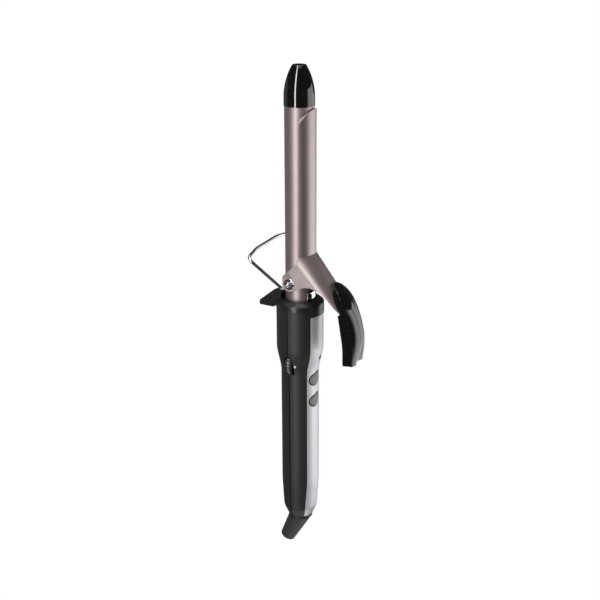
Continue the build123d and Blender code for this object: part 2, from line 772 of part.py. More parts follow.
# Handle shells: one hollow body, parted at the seam. It is made whole, cut for what sits in it,
# given its screw posts and then split.
dial_y = -(handle_r(dial_z) + dial_proud - dial_r)
board_front = board_x + board_thick / 2
board_back = board_x - board_thick / 2
round_y = button_y - (button_length - button_width) / 2 * sin(radians(button_lean))
flange_y_far = abs(round_y) + button_width / 2 + button_flange
flange_x = sqrt((grip_r - handle_wall) ** 2 - flange_y_far**2) - 2 * seat
post_seat = seam_x - post_r
for name, keep in (("front", Keep.TOP), ("rear", Keep.BOTTOM)):
    with BuildPart() as shell:
        revolve(handle_face(0, collar_height, handle_foot), axis=Axis.Z)
        revolve(handle_face(handle_wall, -bush_foot + shelf_thick, handle_foot - handle_wall), axis=Axis.Z, mode=Mode.SUBTRACT)
        with BuildSketch(level(bush_foot)):
            Circle(bush_r + seat)
        extrude(amount=-bush_foot, mode=Mode.SUBTRACT)
        add(seam_groove.part, mode=Mode.SUBTRACT)
        with BuildSketch(level(bush_foot - shelf_thick)):
            Circle(bush_hole_r)
        extrude(amount=shelf_thick, mode=Mode.SUBTRACT)
        with BuildSketch(level(-handle_foot)):
            Circle(swivel_hole_r + gap)
        extrude(amount=handle_wall, mode=Mode.SUBTRACT)
        for z in screw_z:
            with BuildSketch(front):
                with Locations((0, -z)):
                    Circle(post_r)
            extrude(amount=handle_r(z) - handle_wall / 2, both=True)
        if name == "front":
            for z in board_screw_z:
                with BuildSketch(front.offset(board_front)):
                    with Locations((board_screw_y, -z)):
                        Circle(board_post_r)
                extrude(amount=sqrt(handle_r(z) ** 2 - board_screw_y**2) - handle_wall / 2 - board_front)
                with BuildSketch(front.offset(board_front)):
                    with Locations((board_screw_y, -z)):
                        Circle(board_screw_r + seat)
                extrude(amount=board_screw_grip + seat, mode=Mode.SUBTRACT)
        for z in screw_z:
            with BuildSketch(front.offset(-collar_r)):
                with Locations((0, -z)):
                    Circle(screw_head_r + gap)
            extrude(amount=collar_r + post_seat, mode=Mode.SUBTRACT)
            with BuildSketch(front.offset(post_seat)):
                with Locations((0, -z)):
                    Circle(screw_r + seat)
            extrude(amount=screw_length + seat, mode=Mode.SUBTRACT)
        add(panel_bed.part, mode=Mode.SUBTRACT)
        with BuildSketch(front.offset(board_front)):
            with Locations(*[(button_y, -z) for z in button_z]):
                add(drop_outline(button_gap))
            with Locations((0, -led_z)):
                Circle(led_r + seat)
        extrude(amount=2 * collar_r, mode=Mode.SUBTRACT)
        with BuildSketch(side) as dial_slot:
            with BuildLine():
                Polyline(
                    (seam_x - dial_slot_width / 2, -dial_z + dial_slot_length / 2),
                    (seam_x + dial_slot_width / 2, -dial_z + dial_slot_length / 2),
                    (seam_x + dial_slot_width / 2 + dial_slot_flare, -dial_z - dial_slot_length / 2),
                    (seam_x - dial_slot_width / 2, -dial_z - dial_slot_length / 2),
                    close=True,
                )
            make_face()
            fillet(dial_slot.vertices(), radius=dial_slot_flare / 2)
        extrude(amount=2 * collar_r, mode=Mode.SUBTRACT)
        with BuildSketch(front.offset(seam_x - dial_slot_width / 2)):
            with Locations((dial_y, -dial_z)):
                Circle(dial_r + gap)
        extrude(amount=dial_slot_width, mode=Mode.SUBTRACT)
        split(bisect_by=front.offset(seam_x), keep=keep)
    shell.part.label = name + "_shell"
    export_step(shell.part, "parts/" + name + "_shell.step")

# Screws from the back, through the rear shell's posts into the front shell's
with BuildPart() as shell_screws:
    for z in screw_z:
        with BuildSketch(front.offset(post_seat)):
            with Locations((0, -z)):
                Circle(screw_head_r)
        extrude(amount=-screw_head_t)
        with BuildSketch(front.offset(post_seat)):
            with Locations((0, -z)):
                Circle(screw_r)
        extrude(amount=screw_length)
shell_screws.part.label = "shell_screws"
export_step(shell_screws.part, "parts/shell_screws.step")

# Control board on its two posts, with its screws
with BuildPart() as control_board:
    with BuildSketch(front.offset(board_back)):
        with Locations((0, -(board_top + board_foot) / 2)):
            Rectangle(2 * board_half_width, board_foot - board_top)
        with Locations(*[(board_screw_y, -z) for z in board_screw_z]):
            Circle(board_screw_r + seat, mode=Mode.SUBTRACT)
    extrude(amount=board_thick)
control_board.part.label = "control_board"
export_step(control_board.part, "parts/control_board.step")

with BuildPart() as board_screws:
    for z in board_screw_z:
        with BuildSketch(front.offset(board_back)):
            with Locations((board_screw_y, -z)):
                Circle(2 * board_screw_r)
        extrude(amount=-board_screw_r)
        with BuildSketch(front.offset(board_back)):
            with Locations((board_screw_y, -z)):
                Circle(board_screw_r)
        extrude(amount=board_thick + board_screw_grip)
board_screws.part.label = "board_screws"
export_step(board_screws.part, "parts/board_screws.step")

# Switches under the buttons and the light pipe, all standing on the board
switch_height = flange_x - button_flange - button_travel - seat - board_front
with BuildPart() as tact_switches:
    with BuildSketch(front.offset(board_front)):
        with Locations(*[(button_y, -z) for z in button_z]):
            Rectangle(button_width * 0.6, button_width * 0.6)
    extrude(amount=switch_height)
tact_switches.part.label = "tact_switches"
export_step(tact_switches.part, "parts/tact_switches.step")

with BuildPart() as led_lens:
    with BuildSketch(front.offset(board_front)):
        with Locations((0, -led_z)):
            Circle(led_r)
    extrude(amount=handle_r(led_z) - board_front)
led_lens.part.label = "led_lens"
export_step(led_lens.part, "parts/led_lens.step")

# Buttons: drop-shaped caps, rounded to the handle, with a flange behind the wall
for name, z in (("on_button", button_z[0]), ("off_button", button_z[1])):
    with BuildPart() as button:
        with BuildSketch(front.offset(flange_x)):
            with Locations((button_y, -z)):
                add(drop_outline(0))
        extrude(amount=grip_r)
        with BuildSketch(Plane.XY.offset(rim_z - handle_foot)):
            Circle(grip_r + button_proud)
        extrude(amount=handle_foot, mode=Mode.INTERSECT)
        fillet(button.faces().sort_by(Axis.X)[-1].edges(), radius=button_proud * 0.7)
        with BuildSketch(front.offset(flange_x - button_flange)):
            with Locations((button_y, -z)):
                add(drop_outline(button_flange))
        extrude(amount=button_flange)
    button.part.label = name
    export_step(button.part, "parts/" + name + ".step")

# Dial: the wheel turns on the potentiometer's spindle, which stands on the board's back
with BuildPart() as dial_wheel:
    with BuildSketch(front.offset(seam_x - dial_width / 2)):
        with Locations((dial_y, -dial_z)):
            Circle(dial_r)
            Circle(spindle_r + running, mode=Mode.SUBTRACT)
    extrude(amount=dial_width)
    wheel_rims = dial_wheel.edges().filter_by(GeomType.CIRCLE).sort_by(SortBy.RADIUS)[-2:]
    chamfer(wheel_rims, length=dial_width * 0.1)
dial_wheel.part.label = "dial_wheel"
export_step(dial_wheel.part, "parts/dial_wheel.step")

pot_face = seam_x + dial_width / 2 + gap
with BuildPart() as dial_potentiometer:
    with BuildSketch(front.offset(pot_face)):
        with Locations((dial_y, -dial_z)):
            Rectangle(pot_width, pot_width)
    extrude(amount=board_back - pot_face)
    with BuildSketch(front.offset(pot_face)):
        with Locations((dial_y, -dial_z)):
            Circle(spindle_r)
    extrude(amount=-dial_width)
dial_potentiometer.part.label = "dial_potentiometer"
export_step(dial_potentiometer.part, "parts/dial_potentiometer.step")

# Cord swivel: a disc that hangs in the handle's foot by its flange, with two rings on its neck
floor_z = -handle_foot + handle_wall
disc_top = -handle_foot - gap
ring_foot = floor_z + gap + swivel_flange_t
ring_step = ring_foot + ring_height + ring_space
disc_foot = disc_top - swivel_disc
relief_root = Plane(origin=(0, 0, rim_z + disc_foot), x_dir=(0, 1, 0), z_dir=(0, 0, -1))
relief_dir = Vector(-sin(radians(relief_tilt)), 0, -cos(radians(relief_tilt)))
relief_mouth = Plane(origin=relief_root.origin + relief_dir * relief_length, x_dir=(0, 1, 0), z_dir=relief_dir)
with BuildPart() as swivel_head:
    with BuildSketch(side):
        with BuildLine():
            Polyline(
                (0, disc_foot),
                (foot_r, disc_foot),
                (foot_r, disc_top),
                (swivel_hole_r, disc_top),
                (swivel_hole_r, floor_z + gap),
                (swivel_flange_r, floor_z + gap),
                (swivel_flange_r, ring_foot),
                (neck_r + ring_step_w, ring_foot),
                (neck_r + ring_step_w, ring_step),
                (neck_r, ring_step),
                (neck_r, ring_step + ring_height),
                (0, ring_step + ring_height),
                close=True,
            )
        make_face()
    revolve(axis=Axis.Z)
swivel_head.part.label = "swivel_head"
export_step(swivel_head.part, "parts/swivel_head.step")

with BuildPart() as slip_rings:
    for z, inner in ((ring_foot, neck_r + ring_step_w), (ring_step, neck_r)):
        with BuildSketch(level(z)):
            Circle(ring_r)
            Circle(inner + seat, mode=Mode.SUBTRACT)
        extrude(amount=ring_height)
slip_rings.part.label = "slip_rings"
export_step(slip_rings.part, "parts/slip_rings.step")

# Strain relief: a conical elbow under the head's disc, with the cord's bore in its mouth
with BuildPart() as strain_relief:
    with BuildSketch(relief_root):
        Circle(relief_root_r)
    with BuildSketch(relief_mouth):
        Circle(relief_mouth_r)
    loft()
    with BuildSketch(relief_mouth):
        Circle(cord_bore_r)
    extrude(amount=-cord_bore_depth, mode=Mode.SUBTRACT)
strain_relief.part.label = "strain_relief"
export_step(strain_relief.part, "parts/strain_relief.step")

# Brushes beside the rings, and the leads from the board down to them
brush_y = ring_r + brush_gap
with BuildPart() as contact_brushes:
    for hand, z in ((1, ring_foot), (-1, ring_step)):
        with BuildSketch(level(z)):
            with Locations((board_x / 2, hand * (brush_y + brush_thick / 2))):
                Rectangle(board_x + 2 * lead_r, brush_thick)
        extrude(amount=ring_height)
contact_brushes.part.label = "contact_brushes"
export_step(contact_brushes.part, "parts/contact_brushes.step")

with BuildPart() as mains_leads:
    for hand, z in ((1, ring_foot), (-1, ring_step)):
        with BuildSketch(level(z + ring_height)):
            with Locations((board_x, hand * (brush_y + brush_thick / 2))):
                Circle(lead_r)
        extrude(amount=-board_foot - z - ring_height)
mains_leads.part.label = "mains_leads"
export_step(mains_leads.part, "parts/mains_leads.step")
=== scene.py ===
# %% [markdown]
# # A curling iron, dressed for the studio
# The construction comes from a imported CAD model: every rigid piece is already there, at its real size and
# on the body that it moves with. This lesson gives each piece its finish, adds the few things that are
# print or spring rather than construction, and lights it as a catalogue photograph would be lit.

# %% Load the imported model
import math

import bmesh
import bpy
import numpy as np
from mathutils import Matrix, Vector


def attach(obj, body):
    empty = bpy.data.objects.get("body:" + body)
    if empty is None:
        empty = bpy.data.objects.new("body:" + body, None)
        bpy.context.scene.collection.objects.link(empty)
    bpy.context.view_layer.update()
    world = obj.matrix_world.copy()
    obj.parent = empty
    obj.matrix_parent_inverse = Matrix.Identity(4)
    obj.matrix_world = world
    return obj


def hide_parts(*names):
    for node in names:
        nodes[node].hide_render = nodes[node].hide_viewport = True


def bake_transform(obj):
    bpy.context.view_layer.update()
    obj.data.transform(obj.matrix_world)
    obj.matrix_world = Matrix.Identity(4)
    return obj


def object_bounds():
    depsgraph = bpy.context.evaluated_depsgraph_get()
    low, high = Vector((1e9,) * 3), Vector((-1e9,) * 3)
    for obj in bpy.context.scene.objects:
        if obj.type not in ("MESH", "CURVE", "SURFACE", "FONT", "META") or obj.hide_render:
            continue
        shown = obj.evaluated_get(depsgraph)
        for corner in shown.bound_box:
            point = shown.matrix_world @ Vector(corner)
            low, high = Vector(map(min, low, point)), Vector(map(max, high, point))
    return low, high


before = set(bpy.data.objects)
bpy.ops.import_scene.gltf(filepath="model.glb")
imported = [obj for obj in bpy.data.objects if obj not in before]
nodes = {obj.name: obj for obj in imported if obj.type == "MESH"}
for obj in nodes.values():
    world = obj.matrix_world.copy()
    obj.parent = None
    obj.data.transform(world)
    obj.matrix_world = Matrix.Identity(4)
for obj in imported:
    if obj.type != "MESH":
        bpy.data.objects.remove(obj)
cad_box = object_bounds()

# %% [markdown]
# ## Camera
# The photograph looks slightly down at the handle's collar, from the front left of the lever. A real lens
# close to the object makes the tip look flatter and the foot steeper, so the camera stands at its true
# distance and not far away with a long lens. Aiming it at the middle of the collar's rim puts that point in
# the middle of the picture, so no lens shift is needed. A roll of a fifth of a degree gives the barrel the
# slight lean that it has in the picture.

# %% Camera
RIM_Z = 0.090
VIEW_AZIMUTH = math.radians(24.0)
VIEW_ELEVATION = math.radians(20.0)
VIEW_ROLL = math.radians(-0.2)
VIEW_DISTANCE = 0.700
FOCAL_PIXELS = 1060.0
PICTURE_PIXELS = 600.0

target = np.array([0.0, 0.0, RIM_Z])
view_direction = np.array(
    [
        math.sin(VIEW_AZIMUTH) * math.cos(VIEW_ELEVATION),
        -math.cos(VIEW_AZIMUTH) * math.cos(VIEW_ELEVATION),
        math.sin(VIEW_ELEVATION),
    ]
)
lens = bpy.data.cameras.new("studio_lens")
lens.sensor_width = 36.0
lens.lens = FOCAL_PIXELS / PICTURE_PIXELS * lens.sensor_width
lens.clip_start = 0.01
camera = bpy.data.objects.new("studio_camera", lens)
bpy.context.scene.collection.objects.link(camera)
camera.location = target + view_direction * VIEW_DISTANCE
turned = Matrix.Rotation(VIEW_AZIMUTH, 3, "Z") @ Matrix.Rotation(math.pi / 2 - VIEW_ELEVATION, 3, "X")
camera.rotation_euler = (turned @ Matrix.Rotation(VIEW_ROLL, 3, "Z")).to_euler()
bpy.context.scene.camera = camera
print("camera stands at", [round(c, 3) for c in camera.location])

# %% [markdown]
# ## Floor, backdrop and light
# The photograph is a cut-out on white. The floor lies well below the iron, which is held in the air, and it
# and the room answer camera, glossy and transmission rays with plain white, so the background is white
# without any extra light on the object.
#
# Gloss black only looks black where it mirrors something dark. A studio stands black cards round such a
# product for that. Here one card is a bowl all round the iron, which only reflections can see. Soft boxes
# stand inside it. The narrow strip on the left draws the thin streak on the cap and the bright band on the
# barrel. The broad, low boxes on the right light the panel and the pad's outer face, and the one nearest the
# camera fades in along its width, so that no hard edge shows in the gloss. Two weak ones open up the
# shadows, from the far left and from above.
#
# The card and most of the new pieces are grids of points, so two helpers make them: one joins a grid's
# neighbours into quads, and the other puts arrays of points and faces into a mesh.

# %% Helpers for meshes
def surface(name, points, faces):
    """A new object at the origin, from arrays of points and of face corners."""
    mesh = bpy.data.meshes.new(name)
    mesh.from_pydata(points.tolist(), [], faces.tolist())
    piece = bpy.data.objects.new(name, mesh)
    bpy.context.scene.collection.objects.link(piece)
    return piece


def grid_faces(rows, columns):
    """Quads that join neighbours on a grid of points stored row by row."""
    corner = np.arange(rows * columns).reshape(rows, columns)
    quads = (corner[:-1, :-1], corner[1:, :-1], corner[1:, 1:], corner[:-1, 1:])
    return np.stack(quads, axis=-1).reshape(-1, 4)


# %% Floor and world
FLOOR_DROP = 0.60
FLOOR_HALF = 6.0
SQUARE = np.array([(-1, -1), (1, -1), (1, 1), (-1, 1)])


def white_to_camera(tree, lit_shader):
    """Mixes a lit shader with plain white for the rays that look at the background."""
    rays = tree.nodes.new("ShaderNodeLightPath")
    looks = rays.outputs["Is Camera Ray"]
    for kind in ("Is Glossy Ray", "Is Transmission Ray"):
        either = tree.nodes.new("ShaderNodeMath")
        either.operation = "MAXIMUM"
        tree.links.new(looks, either.inputs[0])
        tree.links.new(rays.outputs[kind], either.inputs[1])
        looks = either.outputs[0]
    white = tree.nodes.new("ShaderNodeEmission")
    white.inputs["Color"].default_value = (1.0, 1.0, 1.0, 1.0)
    white.inputs["Strength"].default_value = 1.0
    mix = tree.nodes.new("ShaderNodeMixShader")
    tree.links.new(looks, mix.inputs[0])
    tree.links.new(lit_shader, mix.inputs[1])
    tree.links.new(white.outputs[0], mix.inputs[2])
    return mix.outputs[0]


floor_material = bpy.data.materials.new("studio_floor")
floor_material.use_nodes = True
floor_tree = floor_material.node_tree
floor_tree.nodes.clear()
floor_paint = floor_tree.nodes.new("ShaderNodeBsdfDiffuse")
floor_paint.inputs["Color"].default_value = (0.8, 0.8, 0.8, 1.0)
floor_out = floor_tree.nodes.new("ShaderNodeOutputMaterial")
floor_tree.links.new(white_to_camera(floor_tree, floor_paint.outputs[0]), floor_out.inputs["Surface"])

floor_z = float(cad_box[0][2]) - FLOOR_DROP
floor_points = np.column_stack([FLOOR_HALF * SQUARE, np.full(4, floor_z)])
floor = surface("studio_floor", floor_points, np.array([(0, 1, 2, 3)]))
floor.data.materials.append(floor_material)

world = bpy.data.worlds.new("studio_room")
bpy.context.scene.world = world
world.use_nodes = True
world_tree = world.node_tree
world_tree.nodes.clear()
room = world_tree.nodes.new("ShaderNodeBackground")
room.inputs["Color"].default_value = (0.55, 0.55, 0.56, 1.0)
room.inputs["Strength"].default_value = 0.4
world_out = world_tree.nodes.new("ShaderNodeOutputWorld")
world_tree.links.new(white_to_camera(world_tree, room.outputs[0]), world_out.inputs["Surface"])
bpy.context.scene.view_settings.view_transform = "Standard"
print("floor lies at", round(floor_z, 3))

# %% Black card
CARD_RADIUS = 1.25
CARD_MOUTH = 0.40
CARD_TOP = 1.6
CARD_LIFT = 0.01
CARD_STEPS = 65


def black_card():
    """A bowl about the iron: a profile of a flat foot and an upright wall, carried once round."""
    around = np.linspace(0.0, 2 * math.pi, CARD_STEPS)
    radius = np.array([CARD_MOUTH, CARD_RADIUS, CARD_RADIUS])
    height = np.array([floor_z + CARD_LIFT, floor_z + CARD_LIFT, CARD_TOP])
    x = np.outer(np.sin(around), radius)
    y = np.outer(-np.cos(around), radius)
    z = np.broadcast_to(height, x.shape)
    points = np.stack([x, y, z], axis=-1).reshape(-1, 3)
    return surface("black_card", points, grid_faces(len(around), len(radius)))


card_material = bpy.data.materials.new("black_card")
card_material.use_nodes = True
card_tree = card_material.node_tree
card_tree.nodes.clear()
card_glow = card_tree.nodes.new("ShaderNodeEmission")
card_glow.inputs["Color"].default_value = (0.07, 0.07, 0.072, 1.0)
card_out = card_tree.nodes.new("ShaderNodeOutputMaterial")
card_tree.links.new(card_glow.outputs[0], card_out.inputs["Surface"])
card = black_card()
card.data.materials.append(card_material)
card.visible_camera = False
card.visible_diffuse = False
card.visible_shadow = False
print("black card stands", CARD_RADIUS, "m away")

# %% Soft boxes
def soft_box(name, around, up, distance, width, height, power, fade=0.0):
    """An area lamp that faces the collar, turned round from the camera's side and raised, in degrees.

    Fade is the share of its width over which it grows from dark to full, from its side nearest the camera.
    """
    turn = VIEW_AZIMUTH + math.radians(around)
    rise = math.radians(up)
    lamp = bpy.data.lights.new(name, "AREA")
    lamp.shape = "RECTANGLE"
    lamp.size = width
    lamp.size_y = height
    lamp.energy = power
    if fade:
        lamp.use_nodes = True
        tree = lamp.node_tree
        place = tree.nodes.new("ShaderNodeSeparateXYZ")
        tree.links.new(tree.nodes.new("ShaderNodeNewGeometry").outputs["Parametric"], place.inputs[0])
        grow = tree.nodes.new("ShaderNodeMapRange")
        grow.interpolation_type = "SMOOTHSTEP"
        grow.inputs["From Max"].default_value = fade
        tree.links.new(place.outputs["X"], grow.inputs["Value"])
        tree.links.new(grow.outputs["Result"], tree.nodes["Emission"].inputs["Strength"])
    box = bpy.data.objects.new(name, lamp)
    bpy.context.scene.collection.objects.link(box)
    box.location = target + distance * np.array(
        [math.sin(turn) * math.cos(rise), -math.cos(turn) * math.cos(rise), math.sin(rise)]
    )
    box.rotation_euler = (math.pi / 2 - rise, 0.0, turn)


soft_box("left_strip", around=-30.5, up=12, distance=1.0, width=0.16, height=2.2, power=14.5)
soft_box("left_fill", around=-118, up=-10, distance=1.1, width=0.9, height=1.0, power=0.6)
soft_box("front_fill", around=73, up=-14, distance=1.0, width=0.66, height=1.02, power=5.2, fade=0.7)
soft_box("right_box", around=107, up=-14, distance=1.0, width=0.54, height=1.00, power=3.2)
soft_box("right_edge", around=132, up=-20, distance=1.0, width=0.35, height=0.80, power=1.1)
soft_box("top_box", around=20, up=80, distance=1.1, width=0.7, height=0.7, power=2)

# %% [markdown]
# ## Shared effects
# Most of the finishes here are moulded or sprayed, and what the eye reads as quality is a very fine,
# uneven grain: roughness that wanders by a few percent, and a bump far smaller than a millimetre. Two node
# groups hold those effects, so that each material only chooses its own scale and strength.

# %% Helpers for node trees
def group_with(name, inputs, outputs):
    """A shader node group with named float inputs and outputs, and its input and output nodes."""
    tree = bpy.data.node_groups.new(name, "ShaderNodeTree")
    for label, default in inputs:
        socket = tree.interface.new_socket(label, in_out="INPUT", socket_type="NodeSocketFloat")
        socket.default_value = default
    for label, kind in outputs:
        tree.interface.new_socket(label, in_out="OUTPUT", socket_type=kind)
    return tree, tree.nodes.new("NodeGroupInput"), tree.nodes.new("NodeGroupOutput")


def math_node(tree, operation, *operands):
    """One arithmetic node; each operand is a number or an output socket."""
    node = tree.nodes.new("ShaderNodeMath")
    node.operation = operation
    for socket, value in zip(node.inputs, operands):
        if isinstance(value, (int, float)):
            socket.default_value = value
        else:
            tree.links.new(value, socket)
    return node.outputs[0]


def object_place(tree):
    """The piece's own coordinates, in metres."""
    return tree.nodes.new("ShaderNodeTexCoord").outputs["Object"]


# %% Fine grain: a roughness that wanders and a height for the bump
grain, grain_in, grain_out = group_with(
    "fine_grain",
    [("Scale", 3000.0), ("Roughness", 0.35), ("Spread", 0.1)],
    [("Roughness", "NodeSocketFloat"), ("Height", "NodeSocketFloat")],
)
grain_noise = grain.nodes.new("ShaderNodeTexNoise")
grain_noise.inputs["Detail"].default_value = 3.0
grain.links.new(object_place(grain), grain_noise.inputs["Vector"])
grain.links.new(grain_in.outputs["Scale"], grain_noise.inputs["Scale"])
centred = math_node(grain, "SUBTRACT", grain_noise.outputs["Fac"], 0.5)
swing = math_node(grain, "MULTIPLY", centred, grain_in.outputs["Spread"])
wandering = math_node(grain, "ADD", swing, grain_in.outputs["Roughness"])
grain.links.new(wandering, grain_out.inputs["Roughness"])
grain.links.new(grain_noise.outputs["Fac"], grain_out.inputs["Height"])
print("group:", grain.name)

# %% Metal flake: tiny flakes that lighten and darken a sprayed colour
flake, flake_in, flake_out = group_with(
    "metal_flake", [("Scale", 4000.0), ("Depth", 0.2)], [("Factor", "NodeSocketFloat")]
)
cells = flake.nodes.new("ShaderNodeTexVoronoi")
flake.links.new(object_place(flake), cells.inputs["Vector"])
flake.links.new(flake_in.outputs["Scale"], cells.inputs["Scale"])
split = flake.nodes.new("ShaderNodeSeparateColor")
flake.links.new(cells.outputs["Color"], split.inputs["Color"])
flake_centred = math_node(flake, "SUBTRACT", split.outputs[0], 0.5)
flake_swing = math_node(flake, "MULTIPLY", flake_centred, flake_in.outputs["Depth"])
flake.links.new(math_node(flake, "ADD", flake_swing, 1.0), flake_out.inputs["Factor"])
print("group:", flake.name)

# %% [markdown]
# ## Finishes
# One function lays out the same small network for every finish: a base colour that the flake group
# lightens and darkens, a roughness from the grain group, and a bump from the same grain. A Bevel node
# rounds the look of the sharp edges by a fraction of a millimetre, as a mould or a polish would leave them.
# The Principled shader and every constant stay in the material itself.
#
# The taupe is sprayed metal under a clear lacquer. One metallic layer alone would tint its highlights as
# much as its shadows, so the lacquer is a coat over it: the bright bands come out paler than the colour.

# %% Finish maker
SOCKETS = {
    "metallic": "Metallic",
    "specular": "Specular IOR Level",
    "coat": "Coat Weight",
    "coat_roughness": "Coat Roughness",
    "coat_ior": "Coat IOR",
}
BUMP_HEIGHT = 0.0002
BEVEL_SAMPLES = 4
FLAKES_PER_GRAIN = 1.5


def finish(
    name,
    colour,
    roughness,
    spread=0.06,
    grain_scale=3000.0,
    bump=0.02,
    flake_depth=0.05,
    soft=0.0003,
    **constants,
):
    """A Principled material with wandering roughness, a fine bump, softened edges and a flaked colour."""
    material = bpy.data.materials.new(name)
    material.use_nodes = True
    tree = material.node_tree
    shader = tree.nodes["Principled BSDF"]
    for socket, value in constants.items():
        shader.inputs[SOCKETS[socket]].default_value = value
    fine = tree.nodes.new("ShaderNodeGroup")
    fine.node_tree = grain
    fine.inputs["Scale"].default_value = grain_scale
    fine.inputs["Roughness"].default_value = roughness
    fine.inputs["Spread"].default_value = spread
    tree.links.new(fine.outputs["Roughness"], shader.inputs["Roughness"])
    edge = tree.nodes.new("ShaderNodeBevel")
    edge.samples = BEVEL_SAMPLES
    edge.inputs["Radius"].default_value = soft
    relief = tree.nodes.new("ShaderNodeBump")
    relief.inputs["Strength"].default_value = bump
    relief.inputs["Distance"].default_value = BUMP_HEIGHT
    tree.links.new(fine.outputs["Height"], relief.inputs["Height"])
    tree.links.new(edge.outputs["Normal"], relief.inputs["Normal"])
    tree.links.new(relief.outputs["Normal"], shader.inputs["Normal"])
    flakes = tree.nodes.new("ShaderNodeGroup")
    flakes.node_tree = flake
    flakes.inputs["Scale"].default_value = grain_scale * FLAKES_PER_GRAIN
    flakes.inputs["Depth"].default_value = flake_depth
    tint = tree.nodes.new("ShaderNodeVectorMath")
    tint.operation = "SCALE"
    tint.inputs[0].default_value = colour
    tree.links.new(flakes.outputs["Factor"], tint.inputs["Scale"])
    tree.links.new(tint.outputs["Vector"], shader.inputs["Base Color"])
    return material


def dress(material, *names):
    """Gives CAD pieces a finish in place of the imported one."""
    for name in names:
        nodes[name].data.materials.clear()
        nodes[name].data.materials.append(material)
    print(material.name, "on", ", ".join(names))


# %% Mix the finishes
SPRAYED = {"grain_scale": 1800.0, "flake_depth": 0.16, "metallic": 1.0}
LACQUER = {"coat": 1.0, "coat_roughness": 0.44, "coat_ior": 1.9}

taupe = finish("taupe_metal", (0.34, 0.262, 0.253), 0.54, **SPRAYED, **LACQUER)
# The clip carries the barrel's paint: its darker colour is painted shade on the clip's ears and tongue,
# while its lower roughness is the pressed sheet's own sheen.
shaded_taupe_sheet = finish("shaded_taupe_sheet", (0.265, 0.204, 0.197), 0.47, **SPRAYED, **LACQUER)
gloss_black = finish("gloss_black", (0.002, 0.002, 0.0024), 0.06, spread=0.03, bump=0.0, specular=0.8)
satin_black = finish("satin_black", (0.010, 0.010, 0.0112), 0.50, spread=0.1, bump=0.1, soft=0.0001)
collar_black = finish("collar_black", (0.009, 0.0095, 0.0105), 0.34, spread=0.08, bump=0.06, soft=0.0006)
silver = finish("silver_panel", (0.52, 0.53, 0.545), 0.42, flake_depth=0.06, metallic=0.5)
button_grey = finish("grey_button", (0.13, 0.13, 0.135), 0.42, bump=0.06)
chrome = finish("chrome_wire", (0.72, 0.72, 0.73), 0.06, spread=0.03, bump=0.0, metallic=1.0)
spring_steel = finish("spring_steel", (0.70, 0.70, 0.71), 0.12, metallic=1.0)
sleeve = finish("soft_sleeve", (0.020, 0.020, 0.022), 0.5, spread=0.1, bump=0.1)
plain_steel = finish("zinc_steel", (0.55, 0.56, 0.58), 0.3, metallic=1.0)
aluminium = finish("aluminium_bar", (0.70, 0.70, 0.71), 0.35, metallic=1.0)
ceramic = finish("heater_ceramic", (0.45, 0.43, 0.40), 0.6)
brass = finish("brass_contact", (0.70, 0.50, 0.20), 0.25, metallic=1.0)
red_silicone = finish("lead_sleeve", (0.45, 0.04, 0.03), 0.5)
phenolic = finish("insulator", (0.14, 0.09, 0.06), 0.5)
laminate = finish("board_laminate", (0.02, 0.12, 0.05), 0.4)
white_print = finish("white_print", (0.60, 0.60, 0.58), 0.5)
# This near-black finish is painted shade for the gaps round the buttons, the lamp and the seam.
painted_shade_black = finish("painted_shade_black", (0.002, 0.002, 0.002), 0.8, specular=0.1)
lamp_dark = finish("lamp_lens", (0.006, 0.002, 0.002), 0.5, bump=0.0, specular=0.1)
print("materials so far:", len(bpy.data.materials))

# %% Dress the pieces
dress(taupe, "barrel_tube")
dress(shaded_taupe_sheet, "clip")
dress(gloss_black, "tip_cap", "lever_pad")
dress(satin_black, "front_shell", "rear_shell", "swivel_head")
dress(collar_black, "collar", "dial_wheel")
dress(silver, "front_panel")
dress(button_grey, "on_button", "off_button")
dress(chrome, "stand_wire", "pivot_eyelets")
dress(spring_steel, "leaf_spring")
dress(sleeve, "strain_relief")
dress(plain_steel, "tip_screw", "shell_screws", "board_screws")
dress(aluminium, "heat_spreader_front", "heat_spreader_rear", "tip_anchor")
dress(ceramic, "ptc_heater", "thermistor")
dress(brass, "electrode_plates", "slip_rings", "contact_brushes")
dress(red_silicone, "heater_leads", "mains_leads")
dress(phenolic, "barrel_bushing", "dial_potentiometer", "tact_switches")
dress(laminate, "control_board")
dress(lamp_dark, "led_lens")

# %% [markdown]
# ## Leaf spring
# A strip of spring steel sits round the barrel in the collar's dish, and a narrow leaf rises from it to push
# the lever out. A rigid copy would be torn from the lever when the clip opens. This one is a new skin, made
# in its closed shape: its saddle sits on the handle, its free end on the clip, and the leaf turns smoothly
# between.
# The path is a polyline with rounded corners in the plane of the lever, and the strip is carried along it.

# %% Leaf spring
SPRING_THICK = 0.0007
SADDLE_R = 0.01025
SADDLE_HALF = 0.0066
LEAF_HALF = 0.0035
LEAF_CORNERS = np.array([(SADDLE_R, 0.0916), (SADDLE_R, 0.0980), (0.01714, 0.11104), (0.01873, 0.1061)])
LEAF_BENDS = (0.0021, 0.0021)
BEND_STEPS = 9
PATH_STEP = 0.0006
STRIP_COLUMNS = 15
# Heights over which the strip narrows, and over which it leaves the barrel's circle
NARROWING = (0.0975, 0.0995)
FLATTENING = (0.0970, 0.1015)
SHARP_ANGLE = math.radians(40.0)


def smoothstep(value, start, end):
    """0 before start, 1 after end, and an even slope between them."""
    share = np.clip((value - start) / (end - start), 0.0, 1.0)
    return share * share * (3.0 - 2.0 * share)


